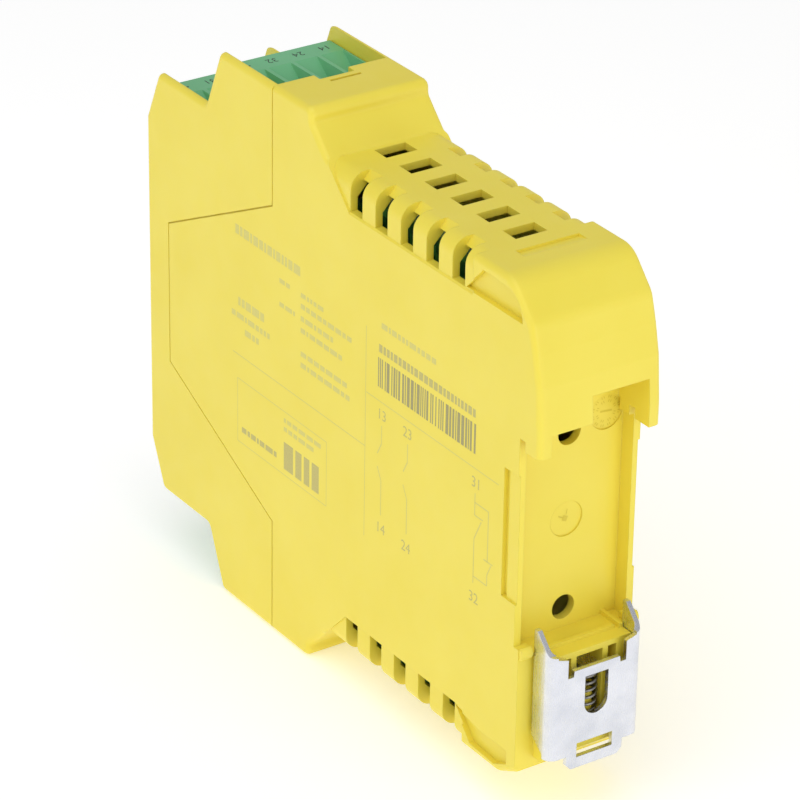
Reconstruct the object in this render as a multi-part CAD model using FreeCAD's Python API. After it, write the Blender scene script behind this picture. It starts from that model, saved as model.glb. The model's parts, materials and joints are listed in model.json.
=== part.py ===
"""Slim 22.5 mm safety relay for a 35 mm mounting rail.

Millimetres, +Z up. X is the width, the front faces -Y, and the origin lies in the middle of the
plane where the side flanges sit on the rail. Depths are counted from the front plane to the rear.
"""
import math
import os

import FreeCAD
import Part

# ---------------------------------------------------------------- overall
WIDTH = 22.5
HEIGHT = 99.0
SEAT_DEPTH = 108.0          # front plane to the rail seat
EDGE_ROUND = 1.0            # rounding all round both side faces
HALF_WIDTH = WIDTH / 2
TOP_Z = HEIGHT / 2
OVERLAP = 0.4               # extra length of cutting tools past a face

# ---------------------------------------------------------------- side outline
FRONT_TOP_Z = 30.0          # upper end of the flat front
STEP1_Z = 38.9              # top of the lower terminal step
STEP1_DEPTH = 3.9
STEP2_FOOT_DEPTH = 18.8     # bottom of the V notch
STEP2_DEPTH = 23.2          # front corner of the flat top
LIP_DEPTH = 50.4            # rear edge of the flat top
RAMP_TOP_Z = 47.1
HUMP_DEPTH = 54.8           # where the ramp meets the vented hump
HUMP_Z = 42.7
REAR_ROUND_DEPTH = 104.6
REAR_PROFILE = [(109.9, 37.0), (111.2, 32.5), (112.3, 27.5), (112.9, 20.0)]
FOOT_PROFILE = [(112.9, -20.0), (113.4, -30.0), (113.4, -36.3), (109.0, -40.5), (104.5, -42.7)]
STEP_CORNER_ROUND = 1.3
LIP_ROUND = 1.5
REAR_TOP_ROUND = 5.0
REAR_SHOULDER_ROUND = 4.0
FOOT_CORNER_ROUND = 3.0

# ---------------------------------------------------------------- shells
REAR_WALL = 1.3             # side walls of the rear moulding
FRONT_WALL = 1.05           # side plates of the front moulding
FACE_WALL = 1.5             # front wall
ROOF_WALL = 1.6
HUMP_ROOF = 1.3
HUMP_ROOM_X = 9.6           # room inside the hump, narrowing under its roof
HUMP_ROOM_BEND_Z = 38.6
HUMP_ROOM_TOP_X = 6.95
CAVITY_Z = 35.2             # half height of the main room
SEAM_DEPTH = 39.2           # vertical part of the seam
SEAM_TONGUE_DEPTH = 6.9     # front end of the tongue
SEAM_BEND_Z = 28.75
SEAM_TONGUE_Z = 12.9
SEAM_GROOVE_WIDTH = 0.24
SEAM_GROOVE_DEEP = 0.35
SHELL_FRONT_WALL = 1.6      # front wall of the rear moulding, behind the upper plugs
SHELL_FRONT_WALL_Z = 31.0

# ---------------------------------------------------------------- vented hump
COMB_PITCH = 6.95
SLOT_COUNT = 5
GAP_START = 61.3            # front end of the first gap between the fins
GAP_LENGTH = 3.35
GAP_FLOOR_Z = 36.3
GAP_WALL_X = 9.7            # wall behind the gaps, leaning in towards the roof
GAP_WALL_BEND_Z = 40.0
GAP_WALL_TOP_X = 7.2
LOUVRE_TOP_Z = 41.2
FIN_FACE_X = 10.95
FIN_FOOT_Z = 36.0
SHOULDER_X = 8.1
SHOULDER_DROP = 2.7
COMB_END_DEPTH = 94.9
WINDOW_COUNT = 6
WINDOW_START = 55.7
WINDOW_LENGTH = 3.45
WINDOW_HALF = 2.9

# ---------------------------------------------------------------- rear block
POCKET_DEEP = 1.0
POCKET_CORNERS = [(92.9, 36.5), (97.5, 41.2), (104.2, 40.9)]
POCKET_BEND = (106.6, 39.4)
POCKET_END = (107.7, 36.5)
LOW_POCKET = [(92.6, -36.5), (97.0, -41.3), (103.6, -41.6), (106.9, -40.0), (106.9, -37.6), (99.5, -37.6)]
ROOF_MARK = {"front": 97.2, "rear": 101.6, "deep": 0.5, "x0": -6.3, "x1": 5.3}
CORE_FRONT = 96.4
CORE_REAR = 103.2
CORE_HALF = 8.8

# ---------------------------------------------------------------- rail recess
RECESS_DEPTH = 105.15       # wall between the flanges
RECESS_WALL = 1.5
FLANGE_WALL = 1.3
RAIL_SLOT_REAR = 109.4      # front of the hook lips
RAIL_SLOT_TOP = 17.7
HOOK_LIP_Z = 16.0
HOOK_MIDDLE_Z = 19.6
HOOK_WINDOW_Z = 24.1
HOOK_WINDOW_X = 1.5
HOOK_SIDE_X = 9.0
SHELF_Z = -19.6
FLANGE_PANEL = {"inset": 0.35, "front": 104.3, "top": 11.2, "bottom": -11.0}
FLANGE_GROOVE = {"inset": 0.8, "rear": 105.3}
WALL_HOLE_RADIUS = 2.1
WALL_HOLES_Z = (14.3, -16.1)
DISC_RADIUS = 3.0
DISC_DEEP = 0.25
GATE_Z = -0.6
CLOCK_X = -6.9
CLOCK_Z = 15.9

# ---------------------------------------------------------------- foot
FOOT_CORE_HALF = 7.85
PEG_INNER = 9.0
FOOT_SIDE_REAR = 109.2      # rear end of the side walls, in front of the catch's sides
FOOT_REAR = 112.4           # rear face of the foot core
PAD_REAR = 113.5            # guide pads behind the catch plate
PEG_BEHIND_SEAT = 0.8
PEG_Z = -19.1
PEG_RADIUS = 1.25
PEG_ARM_Z = -18.3           # the rail edge passes just above
FOOT_LOW_Z = -38.4          # underside of the foot core
GROOVE_HALF = 2.45
GROOVE_FRONT = 108.7
GROOVE_TOP = -20.6
GROOVE_FLOOR = -31.2
POST_RADIUS = 1.3
POST_TOP = -27.7
SHELF_RIM = 0.95
FOOT_WINDOW = {"x0": 3.5, "x1": 5.1, "low": -25.4, "deep": 3.2}

# ---------------------------------------------------------------- catch and spring
CATCH_SHEET = 0.8
CATCH_HALF = 8.75
CATCH_REAR = 114.5
CATCH_BEND = 1.7
CATCH_FRONT = 109.9
CATCH_BOTTOM = -36.7
CATCH_TAB_HALF = 5.3
CATCH_TAB_ROUND = 0.9
CATCH_TAB_BOTTOM = -39.2
CATCH_NOTCH = [(7.4, -18.7), (5.5, -19.3), (5.5, -22.6), (4.4, -22.6), (4.3, -21.6)]
CATCH_SIDE = [(109.9, -15.0), (110.7, -15.0), (113.7, -18.2), (114.9, -18.5)]
CATCH_SLOT_HALF = 2.2
CATCH_SLOT_TOP = -23.2
CATCH_SLOT_BOTTOM = -30.3
CATCH_WINDOW = {"half": 3.4, "top": -34.8, "bottom": -37.3}
CATCH_EAR_HALF = 1.5
CATCH_EAR_FRONT = 109.7
SPRING_RADIUS = 1.92        # to the middle of the wire
SPRING_WIRE = 0.5
SPRING_TURNS = 6.0
SPRING_BEFORE_CATCH = 3.3    # spring axis in front of the catch's rear face

# ---------------------------------------------------------------- plugs
POLES = 4
POLE_PITCH = 5.0
PLUG_HALF = 10.0
PLUG_LENGTH = 17.0
PLUG_FRONTS = {"front": 2.9, "rear": 22.1}
PLUG_TOPS = {"front": 36.2, "rear": 46.8}
PLUG_BODY_HIGH = 11.5
PLUG_NOSE = {"front": 3.5, "rear": 13.5, "half": 9.0, "low": 18.2}
PLUG_BEVEL = 0.9
FUNNEL = {"front": 5.4, "rear": 16.1, "half": 2.15, "deep": 3.7}
WIRE_HOLE = {"front": 11.7, "rear": 14.7, "half": 1.4}
CLAMP_DROP = 6.7            # screw axis below the top of the plug
CAGE = {"front": 9.2, "rear": 15.6, "half_x": 1.95, "half_z": 2.5, "nut": 1.6, "end": 0.8, "open": 1.4}
CAGE_POCKET = {"front": 6.6, "rear": 15.8, "half_x": 2.1, "half_z": 2.8}
SCREW_HEAD = {"front": 1.0, "long": 1.6, "radius": 1.75}
SCREW_SHANK_RADIUS = 1.25
SCREW_SHANK_END = 10.8
SCREW_SLOT_WIDTH = 0.5
SCREW_SLOT_DEEP = 0.7
HEAD_BORE_RADIUS = 2.05
SHANK_BORE_RADIUS = 1.55
LUG = {"half": 2.9, "long": 1.5, "low": 3.0}
SOCKET = {"front": 9.6, "rear": 11.9, "half": 1.45}
CONTACT = {"front": 10.95, "rear": 11.55, "half": 1.2, "top": 4.3, "bottom": 17.6}

# ---------------------------------------------------------------- headers
SEAM_PLAY = 0.1             # between what stands in the front moulding and the rear one's side walls
HEADER = {"front": 2.1, "rear": 15.0, "half": HALF_WIDTH - REAR_WALL - SEAM_PLAY, "top": 11.7, "bottom": 21.2, "base": 1.6}
HEADER_ROOM = {"front": 3.2, "rear": 13.8, "half": 9.3}
PIN = {"front": 10.0, "rear": 10.8, "half": 0.5, "tip": 13.2}
PIN_FOOT_TOP = 22.3
PIN_FOOT_HIGH = 0.7
PIN_FOOT_STEP = 1.3
LEDGE_HIGH = 1.0
LEDGE_X = 9.2
PARTITION = {"front": 20.1, "rear": 21.9, "bottom": 15.0, "top": 37.8}
FACE_TOP_Z = 27.0

# ---------------------------------------------------------------- front face
LABEL = {"half_x": 9.2, "half_z": 24.5, "thick": 0.5}
GUIDE_X = 4.2
GUIDE_ZS = (9.0, 0.0, -9.0)
GUIDE_RADIUS = 1.0
GUIDE_COLLAR = 1.6
GUIDE_COLLAR_LONG = 0.8
GUIDE_REAR = 8.7
GUIDE_PLAY = 0.05
LED = {"front": 8.9, "long": 1.6, "high": 1.4, "half_z": 0.8}

# ---------------------------------------------------------------- board
BOARD_X0 = 5.3
BOARD_X1 = 6.9
BOARD_OUTLINE = [(8.9, 14.4), (19.9, 14.4), (22.2, 14.4), (22.2, 25.0), (39.0, 25.0), (41.0, 29.0),
                 (41.0, 34.9), (60.5, 34.9), (60.5, 41.1), (93.2, 41.1), (93.2, 34.9), (103.2, 34.9)]
RELAY = {"x0": -9.5, "half_z": 20.0, "long": 13.0}
RELAY_FRONTS = {"relay_k1": 60.0, "relay_k2": 77.0}
CAPACITOR_RADIUS = 5.0
CAPACITOR_LONG = 12.5
CAPACITOR_PLACES = [(48.5, 14.0), (48.5, 0.0), (48.5, -14.0)]


def point(x, depth, z):
    """Vector from a width, a depth behind the front plane and a height."""
    return FreeCAD.Vector(x, depth - SEAT_DEPTH, z)


def block(x0, x1, d0, d1, z0, z1):
    return Part.makeBox(x1 - x0, d1 - d0, z1 - z0, point(x0, d0, z0))


def slab(outline, x0, x1):
    """Solid with a (depth, height) outline, drawn out from x0 to x1."""
    corners = [point(x0, d, z) for d, z in outline]
    face = Part.Face(Part.makePolygon(corners + corners[:1]))
    return face.extrude(FreeCAD.Vector(x1 - x0, 0, 0))


def run(outline, d0, d1):
    """Solid with an (x, height) outline, drawn out along the depth."""
    corners = [point(x, d0, z) for x, z in outline]
    face = Part.Face(Part.makePolygon(corners + corners[:1]))
    return face.extrude(FreeCAD.Vector(0, d1 - d0, 0))


def rod(x, z, radius, d0, d1):
    return Part.makeCylinder(radius, d1 - d0, point(x, d0, z), FreeCAD.Vector(0, 1, 0))


def upside_down(shape):
    return shape.mirror(FreeCAD.Vector(0, 0, 0), FreeCAD.Vector(0, 0, 1))


def other_side(shape):
    return shape.mirror(FreeCAD.Vector(0, 0, 0), FreeCAD.Vector(1, 0, 0))


def both_ends(shape):
    return [shape, upside_down(shape)]


def both_sides(shape):
    return [shape, other_side(shape)]


def cross_edges(shape, depth, z):
    """Edges along the width at one place of the side outline."""
    found = []
    for edge in shape.Edges:
        ends = [vertex.Point for vertex in edge.Vertexes]
        if len(ends) == 2 and all((p - point(p.x, depth, z)).Length < 1e-4 for p in ends):
            found.append(edge)
    return found


def pole_positions():
    return [(i - (POLES - 1) / 2) * POLE_PITCH for i in range(POLES)]


def outer_body():
    """The whole outer form of both housings, with rounded edges."""
    upper = [(0.0, FRONT_TOP_Z), (STEP1_DEPTH, STEP1_Z), (STEP2_FOOT_DEPTH, STEP1_Z), (STEP2_DEPTH, TOP_Z),
             (LIP_DEPTH, TOP_Z), (LIP_DEPTH, RAMP_TOP_Z), (HUMP_DEPTH, HUMP_Z)]
    lower = [(d, -z) for d, z in reversed(upper)]
    body = slab(upper + [(REAR_ROUND_DEPTH, HUMP_Z)] + REAR_PROFILE + FOOT_PROFILE + lower, -HALF_WIDTH, HALF_WIDTH)
    rounds = []
    for sign in (1, -1):
        rounds.append((STEP1_DEPTH, sign * STEP1_Z, STEP_CORNER_ROUND))
        rounds.append((STEP2_DEPTH, sign * TOP_Z, STEP_CORNER_ROUND))
        rounds.append((LIP_DEPTH, sign * TOP_Z, LIP_ROUND))
    rounds.append((REAR_ROUND_DEPTH, HUMP_Z, REAR_TOP_ROUND))
    rounds.append((*REAR_PROFILE[0], REAR_SHOULDER_ROUND))
    rounds.append((*FOOT_PROFILE[2], STEP_CORNER_ROUND))
    rounds.append((*FOOT_PROFILE[3], FOOT_CORNER_ROUND))
    rounds.append((*FOOT_PROFILE[4], FOOT_CORNER_ROUND))
    for depth, z, radius in rounds:
        body = body.makeFillet(radius, cross_edges(body, depth, z))
    rims = []
    for edge in body.Edges:
        if all(abs(abs(vertex.X) - HALF_WIDTH) < 1e-6 for vertex in edge.Vertexes):
            rims.append(edge)
    return body.makeFillet(EDGE_ROUND, rims)


def seam_line():
    """Points of the seam between the mouldings, from the top down."""
    far = TOP_Z + OVERLAP
    return [(SEAM_DEPTH, far), (SEAM_DEPTH, SEAM_BEND_Z), (SEAM_TONGUE_DEPTH, SEAM_TONGUE_Z),
            (SEAM_TONGUE_DEPTH, -SEAM_TONGUE_Z), (SEAM_DEPTH, -SEAM_BEND_Z), (SEAM_DEPTH, -far)]


def seam_grooves():
    """Thin grooves along the seam, in both side faces."""
    half = SEAM_GROOVE_WIDTH / 2
    line = seam_line()
    grooves = []
    for (d0, z0), (d1, z1) in zip(line, line[1:]):
        length = math.hypot(d1 - d0, z1 - z0)
        along = ((d1 - d0) / length, (z1 - z0) / length)
        aside = (-along[1] * half, along[0] * half)
        corners = []
        for d, z, end, side in ((d0, z0, -1, 1), (d1, z1, 1, 1), (d1, z1, 1, -1), (d0, z0, -1, -1)):
            corners.append((d + along[0] * half * end + aside[0] * side, z + along[1] * half * end + aside[1] * side))
        grooves += both_sides(slab(corners, HALF_WIDTH - SEAM_GROOVE_DEEP, HALF_WIDTH + OVERLAP))
    return grooves


def shoulder_cut():
    """What is taken off beside the hump, so that the fins stand on rounded shoulders."""
    out = HALF_WIDTH + OVERLAP
    over = HUMP_Z + OVERLAP
    start = point(SHOULDER_X, 0, HUMP_Z)
    across = FIN_FACE_X - SHOULDER_X
    turn = math.radians(45)
    middle = point(SHOULDER_X + across * math.sin(turn), 0, HUMP_Z - SHOULDER_DROP * (1 - math.cos(turn)))
    end = point(FIN_FACE_X, 0, HUMP_Z - SHOULDER_DROP)
    lines = [(FIN_FACE_X, HUMP_Z - SHOULDER_DROP), (FIN_FACE_X, FIN_FOOT_Z + HALF_WIDTH - FIN_FACE_X),
             (out, FIN_FOOT_Z - OVERLAP), (out, over), (SHOULDER_X, over), (SHOULDER_X, HUMP_Z)]
    corners = [point(x, 0, z) for x, z in lines]
    edges = [Part.Arc(start, middle, end).toShape()]
    for a, b in zip(corners, corners[1:]):
        edges.append(Part.makeLine(a, b))
    face = Part.Face(Part.Wire(edges))
    cut = face.extrude(FreeCAD.Vector(0, COMB_END_DEPTH, 0))
    drop = HUMP_Z - FIN_FOOT_Z + 2 * OVERLAP
    behind_ramp = slab([(HUMP_DEPTH - 2 * OVERLAP, HUMP_Z + 2 * OVERLAP), (COMB_END_DEPTH + 1, HUMP_Z + 2 * OVERLAP),
                        (COMB_END_DEPTH + 1, HUMP_Z - drop), (HUMP_DEPTH + drop, HUMP_Z - drop)], 0, out + 1)
    return cut.common(behind_ramp)


def comb_cuts():
    """Gaps between the fins, louvre openings and roof windows of one hump."""
    cuts = both_sides(shoulder_cut())
    out = HALF_WIDTH + OVERLAP
    over = HUMP_Z + OVERLAP
    behind_fins = [(GAP_WALL_TOP_X, over), (GAP_WALL_TOP_X, HUMP_Z), (GAP_WALL_X, GAP_WALL_BEND_Z),
                   (GAP_WALL_X, GAP_FLOOR_Z), (out, GAP_FLOOR_Z), (out, over)]
    for i in range(SLOT_COUNT):
        d0 = GAP_START + i * COMB_PITCH
        cuts += both_sides(run(behind_fins, d0, d0 + GAP_LENGTH))
        cuts += both_sides(block(HUMP_ROOM_TOP_X - 1, GAP_WALL_X + OVERLAP, d0, d0 + GAP_LENGTH,
                                 GAP_FLOOR_Z, LOUVRE_TOP_Z))
    for i in range(WINDOW_COUNT):
        d0 = WINDOW_START + i * COMB_PITCH
        cuts.append(block(-WINDOW_HALF, WINDOW_HALF, d0, d0 + WINDOW_LENGTH,
                          HUMP_Z - HUMP_ROOF - OVERLAP, HUMP_Z + 2))
    return cuts


def rear_cavities():
    """Rooms inside the rear moulding."""
    half = HALF_WIDTH - REAR_WALL
    inner_rear = RECESS_DEPTH - RECESS_WALL
    roof = TOP_Z - ROOF_WALL
    ramp_room = HUMP_DEPTH - (CAVITY_Z - HUMP_Z) - 2.2
    lip_room = ramp_room - (roof - CAVITY_Z)
    front = SEAM_DEPTH + SHELL_FRONT_WALL
    room = [(front, roof), (lip_room, roof), (ramp_room, CAVITY_Z), (inner_rear, CAVITY_Z)]
    outline = room + [(d, -z) for d, z in reversed(room)]
    rooms = [slab(outline, -half, half)]
    rooms.append(block(-half, half, -1, front + OVERLAP, -SHELL_FRONT_WALL_Z, SHELL_FRONT_WALL_Z))
    hump_roof = HUMP_Z - HUMP_ROOF
    hump_front = ramp_room - (hump_roof - CAVITY_Z)
    hump_low = CAVITY_Z - 1
    hump_side = slab([(hump_front, hump_roof), (COMB_END_DEPTH - ROOF_WALL, hump_roof),
                      (COMB_END_DEPTH - ROOF_WALL, hump_low), (ramp_room, hump_low)], -HUMP_ROOM_X, HUMP_ROOM_X)
    hump_end = [(HUMP_ROOM_X, hump_low), (HUMP_ROOM_X, HUMP_ROOM_BEND_Z), (HUMP_ROOM_TOP_X, hump_roof)]
    hump = hump_side.common(run(hump_end + [(-x, z) for x, z in reversed(hump_end)], 0, COMB_END_DEPTH))
    core = block(-CORE_HALF, CORE_HALF, CORE_FRONT, CORE_REAR, CAVITY_Z - 1, hump_roof)
    rooms += both_ends(hump) + both_ends(core)
    rooms.append(slab([(inner_rear - 1, CAVITY_Z), (107.6, CAVITY_Z), (109.4, 31.0), (110.6, 25.2), (inner_rear - 1, 25.2)],
                      -HOOK_SIDE_X, HOOK_SIDE_X))
    return rooms


def rail_cuts():
    """Recess, rail slot and the stepped lower edge of the hook."""
    out = HALF_WIDTH + OVERLAP
    far = CATCH_REAR + 2
    between = HALF_WIDTH - FLANGE_WALL
    cuts = [slab([(SEAT_DEPTH, RAIL_SLOT_TOP), (RAIL_SLOT_REAR, RAIL_SLOT_TOP), (RAIL_SLOT_REAR, HOOK_LIP_Z),
                  (far, HOOK_LIP_Z), (far, PEG_ARM_Z), (SEAT_DEPTH, PEG_ARM_Z)], -out, out)]
    cuts.append(block(-between, between, RECESS_DEPTH, SEAT_DEPTH + OVERLAP, SHELF_Z, HOOK_LIP_Z))
    cuts.append(block(-between, between, SEAT_DEPTH - OVERLAP, far, SHELF_Z, PEG_ARM_Z + OVERLAP))
    cuts.append(block(-HOOK_SIDE_X, HOOK_WINDOW_X, RECESS_DEPTH, far, HOOK_LIP_Z - OVERLAP, HOOK_WINDOW_Z))
    cuts.append(block(HOOK_WINDOW_X - OVERLAP, HOOK_SIDE_X, RECESS_DEPTH, far, HOOK_LIP_Z - OVERLAP, HOOK_MIDDLE_Z))
    panel = block(HALF_WIDTH - FLANGE_PANEL["inset"], out, FLANGE_PANEL["front"], far,
                  FLANGE_PANEL["bottom"], FLANGE_PANEL["top"])
    groove = block(HALF_WIDTH - FLANGE_GROOVE["inset"], out, FLANGE_PANEL["front"], FLANGE_GROOVE["rear"],
                   FLANGE_PANEL["bottom"], FLANGE_PANEL["top"])
    cuts += both_sides(panel) + both_sides(groove)
    wall_front = RECESS_DEPTH - RECESS_WALL - OVERLAP
    for z in WALL_HOLES_Z:
        cuts.append(rod(0, z, WALL_HOLE_RADIUS, wall_front, RECESS_DEPTH + OVERLAP))
    cuts.append(rod(0, GATE_Z, DISC_RADIUS, RECESS_DEPTH - DISC_DEEP, RECESS_DEPTH + OVERLAP))
    cuts.append(rod(CLOCK_X, CLOCK_Z, DISC_RADIUS, RECESS_DEPTH - DISC_DEEP, RECESS_DEPTH + OVERLAP))
    return cuts


def foot_cuts():
    """Room for the catch, the spring groove and the openings under the shelf rim."""
    far = CATCH_REAR + 2
    low = -HUMP_Z - 2
    out = HALF_WIDTH + OVERLAP
    cuts = both_sides(block(FOOT_CORE_HALF, out, FOOT_SIDE_REAR, far, low, PEG_ARM_Z + OVERLAP))
    cuts.append(block(-FOOT_CORE_HALF - OVERLAP, FOOT_CORE_HALF + OVERLAP, FOOT_REAR, far, low, SHELF_Z + 1))
    cuts.append(block(-FOOT_CORE_HALF - OVERLAP, FOOT_CORE_HALF + OVERLAP, FOOT_SIDE_REAR, far, low, FOOT_LOW_Z))
    cuts.append(block(-GROOVE_HALF, GROOVE_HALF, GROOVE_FRONT, far, GROOVE_FLOOR, GROOVE_TOP))
    cuts += both_sides(block(FOOT_WINDOW["x0"], FOOT_WINDOW["x1"], FOOT_REAR - FOOT_WINDOW["deep"], far,
                             FOOT_WINDOW["low"], SHELF_Z - SHELF_RIM))
    return cuts


def foot_additions():
    """Pegs beside the catch, pads behind its plate, the spring post and the shelf ribs."""
    peg_outer = HALF_WIDTH - FLANGE_PANEL["inset"] / 2
    peg = Part.makeCylinder(PEG_RADIUS, peg_outer - PEG_INNER, point(PEG_INNER, SEAT_DEPTH + PEG_BEHIND_SEAT, PEG_Z),
                            FreeCAD.Vector(1, 0, 0))
    peg = peg.cut(block(0, HALF_WIDTH + 1, SEAT_DEPTH - 1, RAIL_SLOT_REAR, PEG_ARM_Z, 0))
    pad = slab([(FOOT_REAR - 1, -24.4), (PAD_REAR, -25.6), (PAD_REAR, -33.4), (FOOT_REAR - 1, -34.4)], 4.3, 6.1)
    post = Part.makeCylinder(POST_RADIUS, POST_TOP - GROOVE_FLOOR + 1, point(0, CATCH_REAR - SPRING_BEFORE_CATCH, GROOVE_FLOOR - 1))
    added = both_sides(peg) + both_sides(pad) + [post]
    added.append(block(-7.9, -7.2, RECESS_DEPTH - OVERLAP, 110.2, SHELF_Z - 1, SHELF_Z + 0.7))
    added.append(block(-6.6, 6.6, 109.0, 109.8, SHELF_Z - 1, SHELF_Z + 0.5))
    return added


def rear_housing(outer):
    """Hollow rear moulding with its tongues, vented humps, rail hook and foot."""
    far = CATCH_REAR + 2
    line = seam_line()
    region = slab(line + [(far, -TOP_Z - 1), (far, TOP_Z + 1)], -HALF_WIDTH - 1, HALF_WIDTH + 1)
    housing = outer.common(region)
    cuts = rear_cavities()
    upper = comb_cuts()
    cuts += upper + [upside_down(cut) for cut in upper]
    bend = Part.Arc(point(0, *POCKET_CORNERS[2]), point(0, *POCKET_BEND), point(0, *POCKET_END)).toShape()
    corners = [POCKET_END] + POCKET_CORNERS
    edges = [bend] + [Part.makeLine(point(0, *a), point(0, *b)) for a, b in zip(corners, corners[1:])]
    pocket = Part.Face(Part.Wire(edges)).extrude(FreeCAD.Vector(POCKET_DEEP + OVERLAP, 0, 0))
    pocket.translate(FreeCAD.Vector(HALF_WIDTH - POCKET_DEEP, 0, 0))
    cuts += both_sides(pocket)
    cuts += both_sides(slab(LOW_POCKET, HALF_WIDTH - POCKET_DEEP, HALF_WIDTH + OVERLAP))
    mark = slab([(ROOF_MARK["front"], HUMP_Z + OVERLAP), (ROOF_MARK["front"], HUMP_Z - ROOF_MARK["deep"]),
                 (ROOF_MARK["rear"], HUMP_Z + OVERLAP)], ROOF_MARK["x0"], ROOF_MARK["x1"])
    cuts.append(mark)
    cuts += both_ends(block(-3.0, 3.5, SEAM_DEPTH - 1, SEAM_DEPTH + 1.75, 43.4, TOP_Z + 1))
    cuts += both_ends(block(-3.4, 2.4, 42.0, 42.6, TOP_Z - 1.1, TOP_Z + 1))
    cuts += seam_grooves()
    housing = housing.cut(cuts)
    housing = housing.cut(rail_cuts())
    housing = housing.cut(foot_cuts())
    housing = housing.fuse(foot_additions())
    return housing.removeSplitter()


def plug_ledges(level):
    """Ledges under one header, on both side plates."""
    bottom = PLUG_TOPS[level] - HEADER["bottom"]
    d0 = PLUG_FRONTS[level] + HEADER["front"]
    d1 = PLUG_FRONTS[level] + HEADER["rear"]
    inner = HALF_WIDTH - FRONT_WALL
    return both_sides(block(LEDGE_X, inner + OVERLAP, d0, d1, bottom - LEDGE_HIGH, bottom))


def front_housing(outer):
    """Front moulding: stepped side plates above and below, joined by the front wall."""
    line = seam_line()
    region = slab(line + [(-2, -TOP_Z - 1), (-2, TOP_Z + 1)], -HALF_WIDTH - 1, HALF_WIDTH + 1)
    housing = outer.common(region)
    inner = HALF_WIDTH - FRONT_WALL
    rear = SEAM_DEPTH + OVERLAP
    cuts = [block(-inner, inner, FACE_WALL, rear, -FACE_TOP_Z - 1, FACE_TOP_Z + 1)]
    cuts += both_ends(block(-inner, inner, -1, rear, FACE_TOP_Z, TOP_Z + 1))
    cuts += seam_grooves()
    cuts.append(block(-LABEL["half_x"], LABEL["half_x"], -1, LABEL["thick"], -LABEL["half_z"], LABEL["half_z"]))
    for z in GUIDE_ZS:
        cuts.append(rod(GUIDE_X, z, GUIDE_RADIUS + GUIDE_PLAY, -1, FACE_WALL + OVERLAP))
    housing = housing.cut(cuts)
    wall = block(-inner - OVERLAP, inner + OVERLAP, PARTITION["front"], PARTITION["rear"],
                 PARTITION["bottom"], PARTITION["top"])
    added = both_ends(wall)
    for level in PLUG_FRONTS:
        for ledge in plug_ledges(level):
            added += both_ends(ledge)
    housing = housing.fuse(added).removeSplitter()
    beside_seam = slab(line + [(rear, -TOP_Z - 1), (rear, TOP_Z + 1)], HALF_WIDTH - REAR_WALL - SEAM_PLAY, HALF_WIDTH + 1)
    return housing.cut(both_sides(beside_seam)).removeSplitter()


def plug_housing(level):
    """Upper plug body with wire funnels, screw bores, cage pockets and a nose."""
    u0 = PLUG_FRONTS[level]
    top = PLUG_TOPS[level]
    rear = u0 + PLUG_LENGTH
    body = slab([(u0, top - PLUG_BODY_HIGH), (u0, top - PLUG_BEVEL), (u0 + PLUG_BEVEL, top), (rear, top),
                 (rear, top - PLUG_BODY_HIGH)], -PLUG_HALF, PLUG_HALF)
    nose = block(-PLUG_NOSE["half"], PLUG_NOSE["half"], u0 + PLUG_NOSE["front"], u0 + PLUG_NOSE["rear"],
                 top - PLUG_NOSE["low"], top - PLUG_BODY_HIGH + OVERLAP)
    added = [nose]
    if level == "rear":
        added.append(block(-LUG["half"], LUG["half"], rear - 1, rear + LUG["long"], top - LUG["low"], top))
    body = body.fuse(added).removeSplitter()
    cuts = []
    axis = top - CLAMP_DROP
    for x in pole_positions():
        mouth = [point(x - FUNNEL["half"], u0 + FUNNEL["front"], top), point(x + FUNNEL["half"], u0 + FUNNEL["front"], top),
                 point(x + FUNNEL["half"], u0 + FUNNEL["rear"], top), point(x - FUNNEL["half"], u0 + FUNNEL["rear"], top)]
        floor = top - FUNNEL["deep"]
        throat = [point(x - WIRE_HOLE["half"], u0 + WIRE_HOLE["front"], floor),
                  point(x + WIRE_HOLE["half"], u0 + WIRE_HOLE["front"], floor),
                  point(x + WIRE_HOLE["half"], u0 + WIRE_HOLE["rear"], floor),
                  point(x - WIRE_HOLE["half"], u0 + WIRE_HOLE["rear"], floor)]
        wires = [Part.makePolygon(ring + ring[:1]) for ring in (mouth, throat)]
        cuts.append(Part.makeLoft(wires, True, True))
        cuts.append(block(x - WIRE_HOLE["half"], x + WIRE_HOLE["half"], u0 + WIRE_HOLE["front"],
                          u0 + WIRE_HOLE["rear"], axis, floor + 0.01))
        cuts.append(block(x - CAGE_POCKET["half_x"], x + CAGE_POCKET["half_x"], u0 + CAGE_POCKET["front"],
                          u0 + CAGE_POCKET["rear"], axis - CAGE_POCKET["half_z"], axis + CAGE_POCKET["half_z"]))
        head_end = u0 + SCREW_HEAD["front"] + SCREW_HEAD["long"]
        cuts.append(rod(x, axis, HEAD_BORE_RADIUS, u0 - 1, head_end))
        cuts.append(rod(x, axis, SHANK_BORE_RADIUS, head_end - OVERLAP, u0 + CAGE_POCKET["front"] + OVERLAP))
        cuts.append(block(x - SOCKET["half"], x + SOCKET["half"], u0 + SOCKET["front"], u0 + SOCKET["rear"],
                          top - PLUG_NOSE["low"] - 1, axis))
    return body.cut(cuts)


def contacts(level):
    """Flat contact strips from the clamps down into the nose."""
    u0 = PLUG_FRONTS[level]
    top = PLUG_TOPS[level]
    strips = []
    for x in pole_positions():
        strips.append(block(x - CONTACT["half"], x + CONTACT["half"], u0 + CONTACT["front"], u0 + CONTACT["rear"],
                            top - CONTACT["bottom"], top - CONTACT["top"]))
    return Part.makeCompound(strips)


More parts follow.
